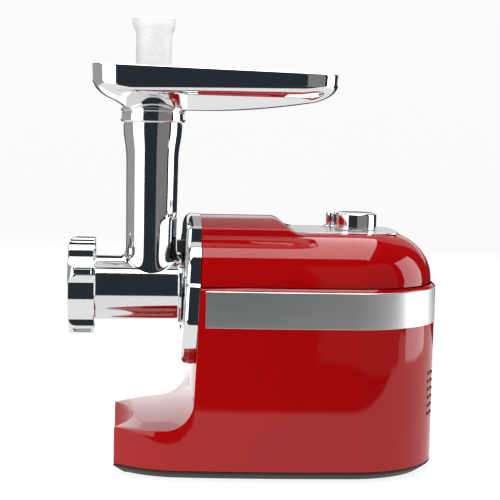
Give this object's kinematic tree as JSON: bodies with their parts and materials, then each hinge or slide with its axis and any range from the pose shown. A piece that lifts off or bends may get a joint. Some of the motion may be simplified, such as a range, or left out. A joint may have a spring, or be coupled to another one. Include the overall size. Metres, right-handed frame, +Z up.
{
  "type": "electric meat grinder",
  "caption": "Electric meat grinder: red rounded motor body on a dark base, chrome front, cast head with ring nut, feed tube, steel tray and white pusher.",
  "frame": {"origin": "on the standing surface, under the middle of the outline", "axes": "+Z up, +X from the meat outlet to the rear of the motor body, +Y to the side with the reverse button"},
  "size_m": [0.3105, 0.1698, 0.375],
  "materials": {
    "red_enamel": "gloss red",
    "polished_chrome": "mirror polished",
    "brushed_band": "brushed along the band",
    "cast_metal": "polished casting",
    "tool_steel": "ground",
    "silver_panel": "satin",
    "black_plastic": "satin",
    "rubber": "matt",
    "milky_plastic": "translucent white",
    "nylon": "satin",
    "lamination": "stacked sheet",
    "copper": null,
    "board": "printed board"
  },
  "bodies": {
    "motor_unit": {"lower_housing": "red_enamel", "upper_cover": "red_enamel", "control_panel": "silver_panel", "trim_band": "brushed_band", "rear_vent_grille": "black_plastic", "cord_gland": "black_plastic", "front_bezel": "polished_chrome", "base_plate": "black_plastic", "head_socket": "black_plastic", "layshaft_1": "tool_steel", "layshaft_2": "tool_steel", "output_bearing": "cast_metal", "gearbox_case": "black_plastic", "gearbox_cover": "black_plastic", "motor_stator": "lamination", "field_coil_front": "copper", "field_coil_rear": "copper", "motor_bearing_front": "tool_steel", "motor_bearing_rear": "tool_steel", "motor_rear_bracket": "cast_metal", "motor_cradle": "cast_metal", "brush_holder_left": "black_plastic", "brush_holder_right": "black_plastic", "speed_switch": "black_plastic", "reverse_collar": "polished_chrome", "reverse_spring": "tool_steel", "reverse_microswitch": "black_plastic", "control_board": "board", "foot_1": "rubber", "base_screw_1": "tool_steel", "foot_2": "rubber", "base_screw_2": "tool_steel", "foot_3": "rubber", "base_screw_3": "tool_steel", "foot_4": "rubber", "base_screw_4": "tool_steel"},
    "knob": {"speed_knob": "polished_chrome", "knob_spindle": "nylon"},
    "button": {"reverse_button": "polished_chrome"},
    "lock": {"lock_ring": "black_plastic"},
    "rotor": {"motor_shaft": "tool_steel", "armature_core": "lamination", "commutator": "copper", "cooling_fan": "black_plastic"},
    "first_reduction": {"first_gear": "nylon"},
    "second_reduction": {"second_gear": "tool_steel"},
    "output_drive": {"output_gear": "tool_steel"},
    "head": {"grinder_head": "cast_metal", "auger_bush": "nylon"},
    "screw": {"auger": "cast_metal", "knife": "tool_steel"},
    "plate": {"cutting_plate": "tool_steel"},
    "nut": {"ring_nut": "polished_chrome"},
    "tray": {"feed_tray": "polished_chrome"},
    "plunger": {"pusher": "milky_plastic"}
  },
  "joints": [
    {"name": "knob_turn", "type": "hinge", "parent": "motor_unit", "child": "knob", "pos_m": [0.0885, 0, 0.2], "axis": [0, 0, 1], "range_deg": [0, 270]},
    {"name": "reverse_press", "type": "slide", "parent": "motor_unit", "child": "button", "axis": [0, 0, -1], "range_m": [0, 0.003], "stiffness_N_per_m": 300, "springref_m": -0.003, "deforming": ["reverse_spring"]},
    {"name": "lock_turn", "type": "hinge", "parent": "motor_unit", "child": "lock", "pos_m": [-0.054, 0, 0.1475], "axis": [-1, 0, 0], "range_deg": [0, 45]},
    {"name": "rotor_spin", "type": "hinge", "parent": "motor_unit", "child": "rotor", "pos_m": [0.08, 0, 0.084], "axis": [1, 0, 0], "continuous": true},
    {"name": "first_gear_spin", "type": "hinge", "parent": "motor_unit", "child": "first_reduction", "pos_m": [0.005, 0.02551, 0.09328], "axis": [1, 0, 0], "continuous": true},
    {"name": "second_gear_spin", "type": "hinge", "parent": "motor_unit", "child": "second_reduction", "pos_m": [-0.005, -0.00742, 0.10417], "axis": [1, 0, 0], "continuous": true},
    {"name": "output_spin", "type": "hinge", "parent": "motor_unit", "child": "output_drive", "pos_m": [-0.01, 0, 0.1475], "axis": [1, 0, 0], "continuous": true},
    {"name": "head_pull_out", "type": "slide", "parent": "motor_unit", "child": "head", "axis": [-1, 0, 0], "range_m": [0, 0.09]},
    {"name": "auger_spin", "type": "hinge", "parent": "head", "child": "screw", "pos_m": [-0.09, 0, 0.1475], "axis": [1, 0, 0], "continuous": true},
    {"name": "plate_out", "type": "slide", "parent": "head", "child": "plate", "axis": [-1, 0, 0], "range_m": [0, 0.009]},
    {"name": "nut_turn", "type": "hinge", "parent": "plate", "child": "nut", "pos_m": [-0.145, 0, 0.1475], "axis": [-1, 0, 0], "range_deg": [0, 1080]},
    {"name": "tray_lift", "type": "slide", "parent": "head", "child": "tray", "axis": [0, 0, 1], "range_m": [0, 0.12]},
    {"name": "pusher_lift", "type": "slide", "parent": "tray", "child": "plunger", "axis": [0, 0, 1], "range_m": [0, 0.14]}
  ],
  "couplings": [
    {"joint": "first_gear_spin", "follows": "rotor_spin", "ratio": -0.25},
    {"joint": "second_gear_spin", "follows": "rotor_spin", "ratio": 0.069444},
    {"joint": "output_spin", "follows": "rotor_spin", "ratio": -0.017361},
    {"joint": "auger_spin", "follows": "rotor_spin", "ratio": -0.017361},
    {"joint": "plate_out", "follows": "nut_turn", "m_per_rad": 0.00047746}
  ]
}
